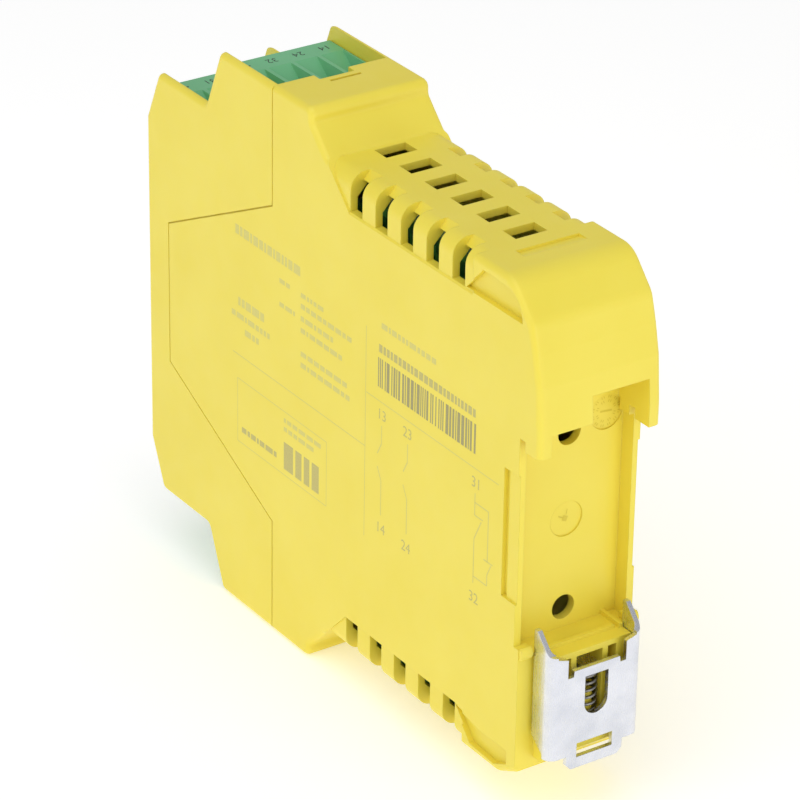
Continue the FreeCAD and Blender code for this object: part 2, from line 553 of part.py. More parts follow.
def clamp_screw(level, x):
    u0 = PLUG_FRONTS[level]
    axis = PLUG_TOPS[level] - CLAMP_DROP
    head_front = u0 + SCREW_HEAD["front"]
    head = rod(x, axis, SCREW_HEAD["radius"], head_front, head_front + SCREW_HEAD["long"])
    rims = [edge for edge in head.Edges if len(edge.Vertexes) == 1 and abs(edge.Vertexes[0].Y - point(0, head_front, 0).y) < 1e-6]
    head = head.makeChamfer(0.2, rims)
    shank = rod(x, axis, SCREW_SHANK_RADIUS, head_front + 1, u0 + SCREW_SHANK_END)
    half = SCREW_SLOT_WIDTH / 2
    reach = SCREW_HEAD["radius"] + 0.1
    slot = block(x - half, x + half, head_front - 1, head_front + SCREW_SLOT_DEEP, axis - reach, axis + reach)
    return head.fuse(shank).removeSplitter().cut(slot)


def clamp_cage(level, x):
    u0 = PLUG_FRONTS[level]
    axis = PLUG_TOPS[level] - CLAMP_DROP
    frame = block(x - CAGE["half_x"], x + CAGE["half_x"], u0 + CAGE["front"], u0 + CAGE["rear"],
                  axis - CAGE["half_z"], axis + CAGE["half_z"])
    window = block(x - CAGE["open"], x + CAGE["open"], u0 + CAGE["front"] + CAGE["nut"], u0 + CAGE["rear"] - CAGE["end"],
                   axis - CAGE["half_z"] - 1, axis + CAGE["half_z"] + 1)
    bore = rod(x, axis, SCREW_SHANK_RADIUS + 0.03, u0 + CAGE["front"] - 1, u0 + CAGE["front"] + CAGE["nut"] + 0.1)
    return frame.cut([window, bore])


def header(level):
    """Socket frame that holds one row of pins and takes the plug nose."""
    u0 = PLUG_FRONTS[level]
    top = PLUG_TOPS[level]
    frame = block(-HEADER["half"], HEADER["half"], u0 + HEADER["front"], u0 + HEADER["rear"],
                  top - HEADER["bottom"], top - HEADER["top"])
    room = block(-HEADER_ROOM["half"], HEADER_ROOM["half"], u0 + HEADER_ROOM["front"], u0 + HEADER_ROOM["rear"],
                 top - HEADER["bottom"] + HEADER["base"], top)
    cuts = [room]
    for x in pole_positions():
        cuts.append(block(x - PIN["half"], x + PIN["half"], u0 + PIN["front"], u0 + PIN["rear"],
                          top - HEADER["bottom"] - 1, top))
    return frame.cut(cuts)


def header_pins(level):
    """Four pins, each with a foot led across to the board at a height of its own."""
    u0 = PLUG_FRONTS[level]
    top = PLUG_TOPS[level]
    drops = [2, 1, 0, 0]
    pins = []
    for x, drop in zip(pole_positions(), drops):
        foot_top = top - PIN_FOOT_TOP - drop * PIN_FOOT_STEP
        foot_low = foot_top - PIN_FOOT_HIGH
        blade = block(x - PIN["half"], x + PIN["half"], u0 + PIN["front"], u0 + PIN["rear"], foot_low, top - PIN["tip"])
        if x < BOARD_X0:
            foot = block(x - PIN["half"], BOARD_X0, u0 + PIN["front"], u0 + PIN["rear"], foot_low, foot_top)
        else:
            foot = block(BOARD_X1, x + PIN["half"], u0 + PIN["front"], u0 + PIN["rear"], foot_low, foot_top)
        pins.append(blade.fuse(foot).removeSplitter())
    return Part.makeCompound(pins)


def light_guides():
    guides = []
    for z in GUIDE_ZS:
        guide = rod(GUIDE_X, z, GUIDE_RADIUS, 0, GUIDE_REAR)
        collar = rod(GUIDE_X, z, GUIDE_COLLAR, FACE_WALL, FACE_WALL + GUIDE_COLLAR_LONG)
        guides.append(guide.fuse(collar).removeSplitter())
    return Part.makeCompound(guides)


def front_label():
    label = block(-LABEL["half_x"], LABEL["half_x"], 0, LABEL["thick"], -LABEL["half_z"], LABEL["half_z"])
    return label.cut([rod(GUIDE_X, z, GUIDE_RADIUS + GUIDE_PLAY, -1, 1) for z in GUIDE_ZS])


def main_board():
    outline = BOARD_OUTLINE + [(d, -z) for d, z in reversed(BOARD_OUTLINE)]
    return slab(outline, BOARD_X0, BOARD_X1)


def led_emitters():
    bodies = []
    for z in GUIDE_ZS:
        bodies.append(block(BOARD_X0 - LED["high"], BOARD_X0, LED["front"], LED["front"] + LED["long"],
                            z - LED["half_z"], z + LED["half_z"]))
    return Part.makeCompound(bodies)


def relay(front):
    body = block(RELAY["x0"], BOARD_X0, front, front + RELAY["long"], -RELAY["half_z"], RELAY["half_z"])
    rims = [edge for edge in body.Edges if all(abs(vertex.X - RELAY["x0"]) < 1e-6 for vertex in edge.Vertexes)]
    body = body.makeChamfer(0.5, rims)
    return body.cut(block(RELAY["x0"] - 1, RELAY["x0"] + 0.4, front + 2.0, front + RELAY["long"] - 2.0, -16.0, 16.0))


def capacitors():
    cans = []
    for d, z in CAPACITOR_PLACES:
        can = Part.makeCylinder(CAPACITOR_RADIUS, CAPACITOR_LONG, point(BOARD_X0 - CAPACITOR_LONG, d, z),
                                FreeCAD.Vector(1, 0, 0))
        rims = [edge for edge in can.Edges if len(edge.Vertexes) == 1]
        cans.append(can.makeFillet(0.4, rims))
    return Part.makeCompound(cans)


def foot_catch():
    """U-shaped sheet-steel catch with hooked arms, a spring ear and a tool window."""
    low = CATCH_TAB_BOTTOM
    high = CATCH_SIDE[0][1]
    outside = block(-CATCH_HALF, CATCH_HALF, CATCH_FRONT, CATCH_REAR, low, high)
    corners = [e for e in outside.Edges if all(abs(v.Y - point(0, CATCH_REAR, 0).y) < 1e-6 for v in e.Vertexes)
               and abs(e.Vertexes[0].X - e.Vertexes[1].X) < 1e-6]
    outside = outside.makeFillet(CATCH_BEND, corners)
    inner_half = CATCH_HALF - CATCH_SHEET
    inside = block(-inner_half, inner_half, CATCH_FRONT - 3, CATCH_REAR - CATCH_SHEET, low - 1, high + 1)
    corners = [e for e in inside.Edges
               if all(abs(v.Y - point(0, CATCH_REAR - CATCH_SHEET, 0).y) < 1e-6 for v in e.Vertexes)
               and abs(e.Vertexes[0].X - e.Vertexes[1].X) < 1e-6]
    inside = inside.makeFillet(CATCH_BEND - CATCH_SHEET, corners)
    catch = outside.cut(inside)
    side = CATCH_SIDE + [(CATCH_REAR + 1, low - 1), (CATCH_REAR - 1.5, low - 1), (CATCH_REAR - 1.9, CATCH_BOTTOM + 0.8),
                         (CATCH_FRONT, CATCH_BOTTOM + 3.0)]
    catch = catch.common(slab(side, -CATCH_HALF - 1, CATCH_HALF + 1))
    over = [(CATCH_NOTCH[0][0], high + 1)] + CATCH_NOTCH
    notch = over + [(-x, z) for x, z in reversed(over)]
    plate_front = CATCH_REAR - CATCH_SHEET - 0.05
    cuts = [run(notch, plate_front, CATCH_REAR + 1)]
    tab_edge = [(CATCH_TAB_HALF, CATCH_BOTTOM), (CATCH_TAB_HALF, low + CATCH_TAB_ROUND),
                (CATCH_TAB_HALF - CATCH_TAB_ROUND, low), (CATCH_TAB_HALF - CATCH_TAB_ROUND, low - 1),
                (CATCH_HALF + 1, low - 1), (CATCH_HALF + 1, CATCH_BOTTOM)]
    cuts += both_sides(run(tab_edge, CATCH_FRONT, CATCH_REAR + 1))
    cuts.append(block(-CATCH_SLOT_HALF, CATCH_SLOT_HALF, plate_front, CATCH_REAR + 1,
                      CATCH_SLOT_BOTTOM + CATCH_SLOT_HALF, CATCH_SLOT_TOP))
    cuts.append(rod(0, CATCH_SLOT_BOTTOM + CATCH_SLOT_HALF, CATCH_SLOT_HALF, plate_front, CATCH_REAR + 1))
    cuts.append(block(-CATCH_WINDOW["half"], CATCH_WINDOW["half"], plate_front, CATCH_REAR + 1,
                      CATCH_WINDOW["bottom"], CATCH_WINDOW["top"]))
    catch = catch.cut(cuts)
    ear = block(-CATCH_EAR_HALF, CATCH_EAR_HALF, CATCH_EAR_FRONT, CATCH_REAR - CATCH_SHEET / 2,
                CATCH_SLOT_TOP, CATCH_SLOT_TOP + CATCH_SHEET)
    return catch.fuse(ear).removeSplitter()


def foot_spring():
    """Compression spring between the foot and the ear of the catch."""
    bottom = GROOVE_FLOOR + SPRING_WIRE / 2
    height = CATCH_SLOT_TOP - GROOVE_FLOOR - SPRING_WIRE
    helix = Part.makeHelix(height / SPRING_TURNS, height, SPRING_RADIUS)
    ring = Part.makeCircle(SPRING_WIRE / 2, FreeCAD.Vector(SPRING_RADIUS, 0, 0), FreeCAD.Vector(0, 1, 0))
    coil = Part.Wire(helix.Edges).makePipeShell([Part.Wire([ring])], True, True)
    coil.translate(point(0, CATCH_REAR - SPRING_BEFORE_CATCH, bottom))
    return coil


def main():
    os.makedirs("parts", exist_ok=True)
    outer = outer_body()
    nodes = {"rear_housing": rear_housing(outer), "front_housing": front_housing(outer)}
    nodes["front_label"] = front_label()
    nodes["light_guides"] = light_guides()
    nodes["main_board"] = main_board()
    nodes["led_emitters"] = led_emitters()
    for name, front in RELAY_FRONTS.items():
        nodes[name] = relay(front)
    nodes["capacitors"] = capacitors()
    nodes["foot_catch"] = foot_catch()
    nodes["foot_spring"] = foot_spring()
    for end in ("top", "bottom"):
        for level in PLUG_FRONTS:
            name = end + "_" + level
            made = {"plug_" + name: plug_housing(level), "plug_contacts_" + name: contacts(level),
                    "header_" + name: header(level), "header_pins_" + name: header_pins(level)}
            for number, x in enumerate(pole_positions(), start=1):
                made["screw_" + name + "_" + str(number)] = clamp_screw(level, x)
                made["cage_" + name + "_" + str(number)] = clamp_cage(level, x)
            for node, shape in made.items():
                nodes[node] = shape if end == "top" else upside_down(shape)
    for name, shape in nodes.items():
        box = shape.BoundBox
        print(name, len(shape.Solids), shape.isValid(), round(shape.Volume, 1),
              [round(v, 2) for v in (box.XMin, box.XMax, box.YMin, box.YMax, box.ZMin, box.ZMax)])
        shape.exportStep("parts/" + name + ".step")
    print(len(nodes), "nodes")


main()
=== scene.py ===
# %% [markdown]
# # Slim safety relay for a mounting rail
# The real object is a flat yellow housing with four green screw plugs and a sprung steel catch at its
# foot. Its solids come packed from CAD, and each of them keeps its place and size here. This file adds
# what CAD leaves out: the finishes of the plastics and metals, the printed marks and the fine moulded
# figures. A small studio with a floor, three lamps and a camera follows.

import json
import math
import random

import bpy
from mathutils import Matrix, Vector


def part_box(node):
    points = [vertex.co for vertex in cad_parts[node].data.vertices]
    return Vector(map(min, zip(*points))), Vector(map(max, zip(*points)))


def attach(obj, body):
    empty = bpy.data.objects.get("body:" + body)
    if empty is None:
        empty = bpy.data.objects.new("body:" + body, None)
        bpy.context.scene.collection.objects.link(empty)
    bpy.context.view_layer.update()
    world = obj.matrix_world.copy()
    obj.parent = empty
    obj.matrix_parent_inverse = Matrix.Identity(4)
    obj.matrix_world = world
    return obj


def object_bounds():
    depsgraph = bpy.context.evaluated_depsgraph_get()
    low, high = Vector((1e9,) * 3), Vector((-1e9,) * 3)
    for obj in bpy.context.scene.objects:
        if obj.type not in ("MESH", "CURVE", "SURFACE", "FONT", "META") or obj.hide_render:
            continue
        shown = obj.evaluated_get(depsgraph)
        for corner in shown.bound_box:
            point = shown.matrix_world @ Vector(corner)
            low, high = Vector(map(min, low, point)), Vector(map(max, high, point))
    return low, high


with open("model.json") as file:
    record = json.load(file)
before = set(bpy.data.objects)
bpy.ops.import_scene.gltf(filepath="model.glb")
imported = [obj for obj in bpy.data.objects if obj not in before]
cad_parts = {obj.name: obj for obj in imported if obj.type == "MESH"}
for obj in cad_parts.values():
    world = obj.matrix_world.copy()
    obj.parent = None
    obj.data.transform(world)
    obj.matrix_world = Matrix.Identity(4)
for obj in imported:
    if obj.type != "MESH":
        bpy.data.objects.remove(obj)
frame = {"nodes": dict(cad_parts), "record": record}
NODES = frame["nodes"]
CAD_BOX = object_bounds()
MM = 0.001
SEAT_DEPTH = 108.0                      # millimetres from the front plane to the rail seat
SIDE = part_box("rear_housing")[1][0]     # the +X side face
scene = bpy.context.scene
print(len(NODES), "nodes, box", [[round(v, 4) for v in corner] for corner in CAD_BOX])

# %% [markdown]
# ## Colours and nodes
# A colour is written as an sRGB hex value, while a shader counts in linear light, so one function
# turns the first into the second. Another adds any shader node with its settings, socket values and
# links, and a third starts a material. Three small helpers are enough here, because every finish
# below is only a short chain of nodes.

# %% Colour, node and material helpers
MIX_FIRST, MIX_SECOND, MIX_RESULT = 6, 7, 2     # places of the colour sockets on a Mix node
NOISE_ENDS = (0.3, 0.7)                         # nearly all noise values lie between these two


def linear(hex_colour):
    """Linear RGBA of an sRGB hex colour such as 'F0E175'."""
    out = []
    for i in (0, 2, 4):
        c = int(hex_colour[i:i + 2], 16) / 255
        out.append(c / 12.92 if c <= 0.04045 else ((c + 0.055) / 1.055) ** 2.4)
    return (*out, 1.0)


def node(tree, kind, settings=None, values=None, links=None):
    """A new shader node with settings, unlinked socket values and incoming links."""
    made = tree.nodes.new(kind)
    for key, value in (settings or {}).items():
        setattr(made, key, value)
    for key, value in (values or {}).items():
        made.inputs[key].default_value = value
    for key, source in (links or {}).items():
        tree.links.new(source, made.inputs[key])
    return made


def material(name):
    """A material with an empty Principled shader; returns the material, its tree and the shader."""
    made = bpy.data.materials.new(name)
    made.use_nodes = True
    tree = made.node_tree
    shader = next(n for n in tree.nodes if n.type == "BSDF_PRINCIPLED")
    return made, tree, shader


print("helpers ready")

# %% [markdown]
# ## Mottled colour and soft edges
# No moulded or plated face has quite one colour: it cools, flows and wears unevenly. Two close tones
# mixed by a soft noise give that, with patches of a real size in millimetres. Real edges are also
# never razor sharp. Rounding them in the mesh would mean changing the CAD solids, so a Bevel node
# bends the shading over a small radius instead, with the fine grain on top of it.


# %% Parts that all finishes share
def mottled_colour(tree, where, patch_mm, detail, ends, tones, roughness=0.5):
    """Two hex tones in soft patches of a real size; ends are the noise values of the pure tones."""
    patches = node(tree, "ShaderNodeTexNoise",
                   values={"Scale": 1 / (patch_mm * MM), "Detail": detail, "Roughness": roughness},
                   links={"Vector": where})
    spread = node(tree, "ShaderNodeMapRange", values={"From Min": ends[0], "From Max": ends[1]},
                  links={"Value": patches.outputs["Fac"]})
    base, shade = (linear(tone) for tone in tones)
    mix = node(tree, "ShaderNodeMix", {"data_type": "RGBA"}, {MIX_FIRST: base, MIX_SECOND: shade},
               {"Factor": spread.outputs["Result"]})
    return mix.outputs[MIX_RESULT]


def rounded_bump(tree, height, strength, distance_mm, edge_mm):
    """Fine bump on top of softly rounded edges."""
    edges = node(tree, "ShaderNodeBevel", settings={"samples": 6}, values={"Radius": edge_mm * MM})
    bump = node(tree, "ShaderNodeBump", values={"Strength": strength, "Distance": distance_mm * MM},
                links={"Height": height, "Normal": edges.outputs["Normal"]})
    return bump.outputs["Normal"]


print("shared parts ready")

# %% [markdown]
# ## Plastics
# The housing and the plugs are injection-moulded polyamide, the relays and sleeves inside are other
# moulded plastics. To the eye this is a satin face, a little uneven in colour and gloss, with a very
# fine spark-eroded grain. The yellow lets a little light in, which a small subsurface weight gives.
# A glossy paint shader would look too hard, so gloss comes from roughness alone.

# %% Moulded plastics
MOULD_PATCH_MM = 14.0           # patches of uneven colour
MOULD_FLOW_MM = 3.0             # patches of uneven gloss
ERODED_GRAIN_MM = 0.16          # drawn about three times as coarse as the real grain, so that it shows
POLYAMIDE_IOR = 1.53
GLOSS_SPREAD = 0.05
LIGHT_REACH_MM = 0.8            # how far light gets into the plastic
LIGHT_REACH_BY_COLOUR = (1.0, 0.7, 0.25)


def moulded(name, base, shade, rough, glow, edge_mm=0.16, grain=0.35):
    """Injection-moulded plastic with rounded mould edges."""
    made, tree, shader = material(name)
    where = node(tree, "ShaderNodeTexCoord").outputs["Object"]
    colour = mottled_colour(tree, where, MOULD_PATCH_MM, 4.0, NOISE_ENDS, (base, shade))
    fine = node(tree, "ShaderNodeTexNoise",
                values={"Scale": 1 / (ERODED_GRAIN_MM * MM), "Detail": 5.0, "Roughness": 0.6},
                links={"Vector": where})
    flow = node(tree, "ShaderNodeTexNoise", values={"Scale": 1 / (MOULD_FLOW_MM * MM), "Detail": 3.0},
                links={"Vector": where})
    gloss = node(tree, "ShaderNodeMapRange",
                 values={"From Min": NOISE_ENDS[0], "From Max": NOISE_ENDS[1],
                         "To Min": rough - GLOSS_SPREAD, "To Max": rough + GLOSS_SPREAD},
                 links={"Value": flow.outputs["Fac"]})
    tree.links.new(colour, shader.inputs["Base Color"])
    tree.links.new(gloss.outputs["Result"], shader.inputs["Roughness"])
    tree.links.new(rounded_bump(tree, fine.outputs["Fac"], grain, 0.02, edge_mm), shader.inputs["Normal"])
    shader.inputs["IOR"].default_value = POLYAMIDE_IOR
    shader.inputs["Subsurface Weight"].default_value = glow
    shader.inputs["Subsurface Radius"].default_value = LIGHT_REACH_BY_COLOUR
    shader.inputs["Subsurface Scale"].default_value = LIGHT_REACH_MM * MM
    return made


YELLOW = moulded("moulded_yellow_polyamide", "F3E153", "F0DD49", 0.42, 0.1)
GREEN = moulded("moulded_green_polyamide", "74C08C", "6CB884", 0.4, 0.06, 0.08)
BLACK_CASE = moulded("moulded_black_case", "26262A", "1F1F23", 0.5, 0.0)
FOIL = moulded("matt_polyester_foil", "E9E9E4", "E3E3DE", 0.5, 0.0, 0.05, 0.15)
SLEEVE = moulded("shrink_sleeve_pvc", "1C1D22", "17181C", 0.3, 0.0, 0.2, 0.1)
print("plastics", [finish.name for finish in (YELLOW, GREEN, BLACK_CASE, FOIL, SLEEVE)])

# %% [markdown]
# ## Metals
# The foot catch is bright zinc-plated steel sheet with a faint rolling grain along its height. The
# screws have the same plating on turned steel, the spring is drawn wire, and pins and contacts are
# tin-plated copper. All are one recipe: full metallic, a grain that changes both gloss and bump, and
# a Mapping node that stretches the grain along the way the metal was rolled.

# %% Plated metals
TARNISH_MM = 5.0                # patches of slightly duller plating
TARNISH_ENDS = (0.35, 0.65)
NO_STRETCH = (1.0, 1.0, 1.0)
ROLLED_UPWARDS = (1.0, 1.0, 0.12)


def plated(name, base, shade, rough, grain_mm, stretch, edge_mm, strength=0.25):
    """Plated metal with a fine grain stretched along one axis."""
    made, tree, shader = material(name)
    where = node(tree, "ShaderNodeTexCoord").outputs["Object"]
    scaled = node(tree, "ShaderNodeMapping", values={"Scale": stretch}, links={"Vector": where})
    grain = node(tree, "ShaderNodeTexNoise",
                 values={"Scale": 1 / (grain_mm * MM), "Detail": 6.0, "Roughness": 0.6},
                 links={"Vector": scaled.outputs["Vector"]})
    colour = mottled_colour(tree, where, TARNISH_MM, 4.0, TARNISH_ENDS, (base, shade))
    gloss = node(tree, "ShaderNodeMapRange",
                 values={"From Min": NOISE_ENDS[0], "From Max": NOISE_ENDS[1],
                         "To Min": rough - 0.06, "To Max": rough + 0.08},
                 links={"Value": grain.outputs["Fac"]})
    tree.links.new(colour, shader.inputs["Base Color"])
    shader.inputs["Metallic"].default_value = 1.0
    tree.links.new(gloss.outputs["Result"], shader.inputs["Roughness"])
    normal = rounded_bump(tree, grain.outputs["Fac"], strength, 0.01, edge_mm)
    tree.links.new(normal, shader.inputs["Normal"])
    return made


ZINC = plated("bright_zinc_plated_steel", "E2E4EC", "D3D6DF", 0.27, 0.4, ROLLED_UPWARDS, 0.12)
SCREW_ZINC = plated("zinc_plated_screw_steel", "D8D9DC", "C6C8CC", 0.3, 0.3, NO_STRETCH, 0.08)
SPRING = plated("drawn_spring_wire", "8E8C88", "77746F", 0.3, 0.3, NO_STRETCH, 0.02)
TIN = plated("tin_plated_copper", "C9C8C2", "BDBBB4", 0.35, 0.3, NO_STRETCH, 0.04)
print("metals", [finish.name for finish in (ZINC, SCREW_ZINC, SPRING, TIN)])

# %% [markdown]
# ## Board, light guides and lamps
# The edge and face of the circuit board show through the vents. It is glass laminate under a green
# solder mask, with copper runs that show darker and stand up a little. Drawn tracks would hardly be
# seen, so square Voronoi cells stand for them. The guides are clear polycarbonate and the lamps clear
# resin: both are mostly transmission, with a few streaks from moulding.

# %% Board and clear plastics
RUN_SPACING_MM = 2.4            # from one copper run to the next
RUN_ENDS = (0.32, 0.4)          # cell distances between which a run begins
STREAK_MM = 1.2
STREAK_GLOSS = (0.05, 0.12)


def solder_mask():
    """Green mask over copper runs."""
    made, tree, shader = material("green_solder_mask")
    where = node(tree, "ShaderNodeTexCoord").outputs["Object"]
    cells = node(tree, "ShaderNodeTexVoronoi", settings={"distance": "CHEBYCHEV"},
                 values={"Scale": 1 / (RUN_SPACING_MM * MM)}, links={"Vector": where})
    runs = node(tree, "ShaderNodeMapRange", values={"From Min": RUN_ENDS[0], "From Max": RUN_ENDS[1]},
                links={"Value": cells.outputs["Distance"]}).outputs["Result"]
    colour = node(tree, "ShaderNodeMix", {"data_type": "RGBA"},
                  {MIX_FIRST: linear("4F9A50"), MIX_SECOND: linear("2F6B38")}, {"Factor": runs})
    tree.links.new(colour.outputs[MIX_RESULT], shader.inputs["Base Color"])
    shader.inputs["Roughness"].default_value = 0.3
    shader.inputs["IOR"].default_value = 1.5
    tree.links.new(rounded_bump(tree, runs, 0.3, 0.03, 0.05), shader.inputs["Normal"])
    return made


def clear_plastic(name, tint):
    """Clear moulded plastic with faint streaks."""
    made, tree, shader = material(name)
    where = node(tree, "ShaderNodeTexCoord").outputs["Object"]
    streak = node(tree, "ShaderNodeTexNoise", values={"Scale": 1 / (STREAK_MM * MM), "Detail": 3.0},
                  links={"Vector": where}).outputs["Fac"]
    colour = node(tree, "ShaderNodeMix", {"data_type": "RGBA"},
                  {MIX_FIRST: linear(tint), MIX_SECOND: linear("FFFFFF")}, {"Factor": streak})
    gloss = node(tree, "ShaderNodeMapRange",
                 values={"From Min": NOISE_ENDS[0], "From Max": NOISE_ENDS[1],
                         "To Min": STREAK_GLOSS[0], "To Max": STREAK_GLOSS[1]}, links={"Value": streak})
    tree.links.new(colour.outputs[MIX_RESULT], shader.inputs["Base Color"])
    tree.links.new(gloss.outputs["Result"], shader.inputs["Roughness"])
    shader.inputs["Transmission Weight"].default_value = 0.9
    shader.inputs["IOR"].default_value = 1.585
    return made


BOARD = solder_mask()
CLEAR = clear_plastic("clear_polycarbonate", "E8F0F2")
LAMP = clear_plastic("lamp_resin", "D9E8C0")
print("board and clear plastics", [finish.name for finish in (BOARD, CLEAR, LAMP)])

# %% [markdown]
# ## Finishes on the frame
# The record names a material slot for every CAD node, so one table from slot to finish dresses all of
# them at once. The foot catch shares its slot with the screws, but is rolled sheet, and so it gets its
# own grained zinc afterwards.

# %% Dress every node
FINISH = {"yellow_polyamide": YELLOW, "green_polyamide": GREEN, "zinc_plated_steel": SCREW_ZINC,
          "spring_steel": SPRING, "tinned_copper": TIN, "board_laminate": BOARD, "relay_case": BLACK_CASE,
          "capacitor_sleeve": SLEEVE, "front_foil": FOIL, "clear_polycarbonate": CLEAR, "led_resin": LAMP}
for part in frame["record"]["subparts"]:
    piece = NODES[part["node"]]
    piece.data.materials.clear()
    piece.data.materials.append(FINISH[part["material_slot"]])
NODES["foot_catch"].data.materials.clear()
NODES["foot_catch"].data.materials.append(ZINC)
print({name: finish.name for name, finish in FINISH.items()})

# %% [markdown]
# ## Ink of the printed marks
# The marks on the +X side are laser marked: the beam darkens the plastic, so they are a speckled
# yellowish grey and have no thickness. An image would need a texture file. Thin flat faces a few
# thousandths of a millimetre above the wall give the same look as plain geometry.

# %% Laser-marked inks
INK_LIFT = 0.006 * MM
SPECK_MM = 0.25
SPECK_ENDS = (0.35, 0.65)


def ink_material(name, base, shade):
    """Laser-marked print: a speckled grey that lets some of the ground through."""
    made, tree, shader = material(name)
    where = node(tree, "ShaderNodeTexCoord").outputs["Object"]
    colour = mottled_colour(tree, where, SPECK_MM, 3.0, SPECK_ENDS, (base, shade), roughness=0.6)
    tree.links.new(colour, shader.inputs["Base Color"])
    shader.inputs["Roughness"].default_value = 0.5
    shader.inputs["IOR"].default_value = 1.5
    return made


INK = ink_material("laser_marked_grey", "BDB26A", "C9BE6E")
PALE_INK = ink_material("laser_marked_pale_grey", "D6CB70", "DDD272")
DARK_INK = ink_material("laser_marked_dark_grey", "9C9466", "A89F68")
print("inks", [ink.name for ink in (INK, PALE_INK, DARK_INK)])

# %% [markdown]
# ## Bars and strokes
# Every printed mark is a bar or a straight stroke, so two functions that return the four corners of
# one are enough. A third joins many of them into one mesh, which rides on its body. Places are
# counted in millimetres from the front edge of the side face, as on a drawing of the print.

# %% Flat marks on the side face
PRINT_START = 1.0               # the print drawing begins this far behind the front plane
PRINT_STRETCH = 1.009           # and is this much longer than drawn
LINE_WIDTH = 0.22
RULE_WIDTH = 0.16
FRAME_WIDTH = 0.14


def side_point(y, z):
    """Place on the side face; y is counted from the face's front edge, both in millimetres."""
    return Vector((SIDE + INK_LIFT, ((y + PRINT_START) * PRINT_STRETCH - SEAT_DEPTH) * MM, z * MM))


def bar(y0, y1, z0, z1):
    """Corners of an upright printed bar."""
    return [side_point(y0, z0), side_point(y1, z0), side_point(y1, z1), side_point(y0, z1)]


def strokes(points, wide=LINE_WIDTH):
    """Corners of straight printed lines from point to point."""
    out = []
    for (y0, z0), (y1, z1) in zip(points, points[1:]):
        along = Vector((y1 - y0, z1 - z0)).normalized()
        off = Vector((-along.y, along.x)) * wide / 2
        out.append([side_point(y0 - off.x, z0 - off.y), side_point(y1 - off.x, z1 - off.y),
                    side_point(y1 + off.x, z1 + off.y), side_point(y0 + off.x, z0 + off.y)])
    return out


def flat_piece(name, quads, finish, body="housing"):
    """One mesh of flat four-cornered marks."""
    vertices = [corner for quad in quads for corner in quad]
    faces = [tuple(range(4 * i, 4 * i + 4)) for i in range(len(quads))]
    mesh = bpy.data.meshes.new(name)
    mesh.from_pydata(vertices, [], faces)
    mesh.materials.append(finish)
    made = bpy.data.objects.new(name, mesh)
    scene.collection.objects.link(made)
    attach(made, body)
    return made


print("print helpers ready")

# %% [markdown]
# ## Lines of small type
# The real side has lines of small type. Here they are rows of short bars of uneven length, which read
# as type from a distance and say nothing. A seeded random row is used, because bars of equal length
# would look like a ruler.

# %% Text lines
# Each row: where it starts, its foot, its length and the height of its letters, in millimetres.
TEXT_LINES = ((26.8, 19.6, 19.8, 1.7), (27.6, 6.9, 7.8, 1.5), (25.6, 4.5, 11.5, 1.0), (29.6, 2.1, 4.2, 1.1),
              (40.0, 16.1, 3.4, 0.8), (46.3, 16.1, 7.0, 0.8), (46.3, 14.1, 14.6, 0.9),
              (40.0, 11.9, 4.6, 0.8), (46.3, 11.9, 10.2, 0.9), (46.3, 9.8, 12.4, 0.9),
              (46.3, 5.6, 14.2, 0.9), (46.3, 3.6, 14.2, 0.9), (69.2, 20.3, 14.8, 1.0),
              (41.4, -8.6, 11.4, 0.8), (41.4, -10.2, 9.4, 0.8))


def word_bars(rng, y, z, width, high, least=0.5, most=2.2, gap=0.35):
    """A line of text shown as a row of short bars of uneven length."""
    out = []
    end = y + width
    while y < end - least:
        wide = min(rng.uniform(least, most), end - y)
        out.append(bar(y, y + wide, z, z + high))
        y += wide + gap
    return out


rng = random.Random(7)
pale = []
for row in TEXT_LINES:
    pale += word_bars(rng, *row)
flat_piece("print_text_lines", pale, PALE_INK)
print("text lines", len(TEXT_LINES), "bars", len(pale))

# %% [markdown]
# ## Bar field
# A machine-read field is a row of upright bars of a few set widths. It must not code anything, so both
# the bars and the gaps are drawn at random from short lists.

# %% Bar field
FIELD_START, FIELD_END = 68.4, 94.8
FIELD_LAST_START = 94.6
FIELD_FOOT, FIELD_TOP = 9.9, 15.0
BAR_WIDTHS = (0.28, 0.28, 0.5, 0.75)
BAR_GAPS = (0.24, 0.3, 0.55)
bars = []
y = FIELD_START
while y < FIELD_LAST_START:
    wide = rng.choice(BAR_WIDTHS)
    bars.append(bar(y, min(y + wide, FIELD_END), FIELD_FOOT, FIELD_TOP))
    y += wide + rng.choice(BAR_GAPS)
flat_piece("print_bar_field", bars, DARK_INK)
print("bars", len(bars))

# %% [markdown]
# ## Contact diagram and ruled lines
# The diagram shows two make contacts and one break contact, in the strokes that any circuit drawing
# uses. Each is a short list of points, and the strokes function joins them. Three ruled lines part the
# print into fields, and a thin frame stands round the lowest one.

# %% Diagram
MAKE_CONTACTS_AT = (69.6, 76.8)
BREAK_CONTACT = (((95.0, 3.3), (95.0, 1.7), (98.6, 1.7), (98.6, -7.0)),
                 ((97.6, -7.0), (100.0, -7.0)),
                 ((95.0, 1.7), (95.0, -0.5), (97.2, -0.5)),
                 ((96.8, -0.9), (95.0, -4.6), (95.0, -12.4)),
                 ((95.0, -11.2), (98.6, -11.2), (98.6, -9.3), (99.6, -7.2)))
RULES = (((65.0, 19.0), (65.0, -18.4)), ((25.9, -2.2), (64.9, -2.2)), ((65.2, 7.5), (101.0, 7.5)))
FRAME_CORNERS = ((27.3, -6.6), (54.0, -6.6), (54.0, -18.3), (27.3, -18.3), (27.3, -6.6))
lines = []
for rule in RULES:
    lines += strokes(rule, RULE_WIDTH)
for x in MAKE_CONTACTS_AT:
    lines += strokes(((x, 3.4), (x, 0.2), (x - 1.1, -1.9)))
    lines += strokes(((x - 1.1, -4.2), (x, -6.4), (x, -12.6)))
